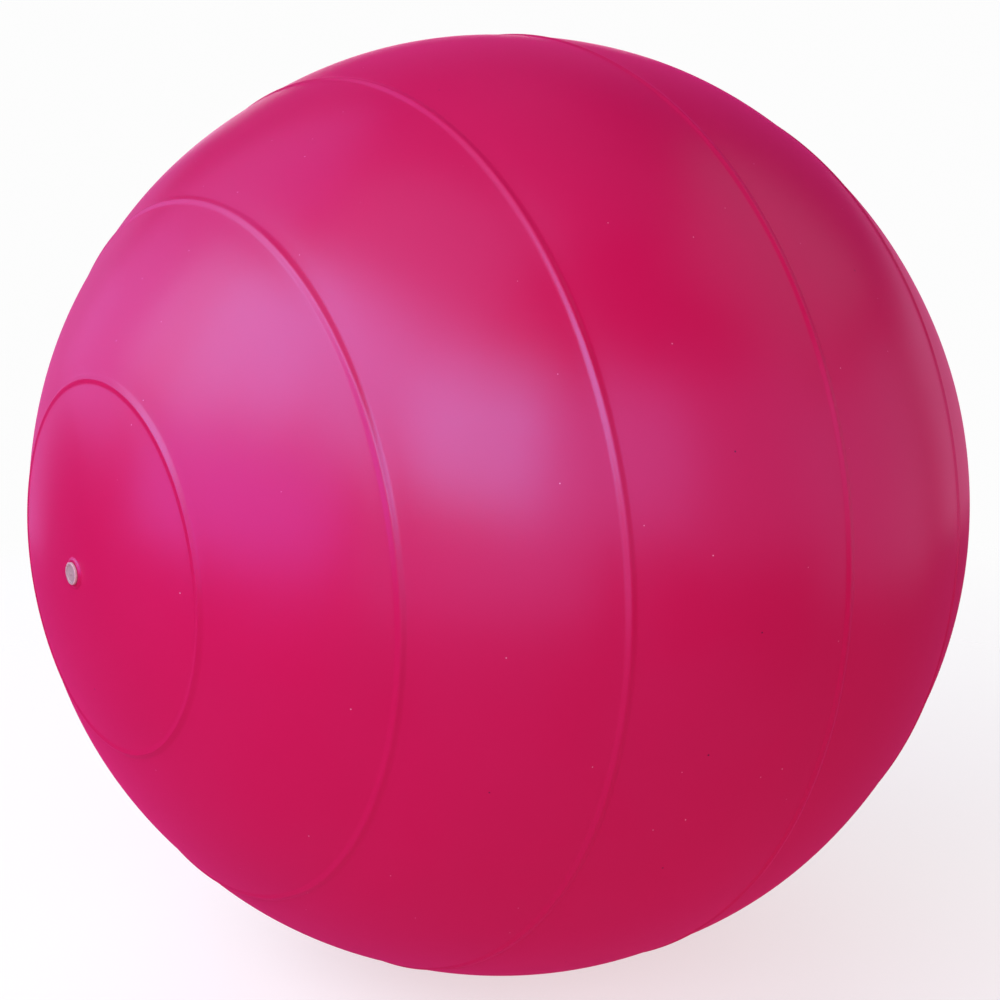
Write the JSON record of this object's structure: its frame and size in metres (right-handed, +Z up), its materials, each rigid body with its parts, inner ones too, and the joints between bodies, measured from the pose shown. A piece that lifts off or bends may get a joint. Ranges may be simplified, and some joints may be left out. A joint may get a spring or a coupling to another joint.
{
  "type": "exercise ball",
  "caption": "Large round inflatable exercise ball with low ribs around its valve axis and a push-in valve plug on a low raised collar.",
  "frame": {"origin": "the ball's centre", "axes": "-Y from the centre out through the valve, along the axis of the ribs and of the plug; +Z up"},
  "size_m": [0.652, 0.6527, 0.652],
  "materials": {
    "skin_vinyl": "satin soft vinyl, hot pink",
    "seat_vinyl": "satin soft vinyl, hot pink",
    "plug_plastic": "moulded plastic, off-white"
  },
  "bodies": {
    "ball": {"ball_skin": "skin_vinyl", "valve_seat": "seat_vinyl"},
    "plug": {"valve_plug": "plug_plastic"}
  },
  "joints": [
    {"name": "plug_pull", "type": "slide", "parent": "ball", "child": "plug", "axis": [0, -1, 0], "range_m": [0, 0.04]}
  ]
}
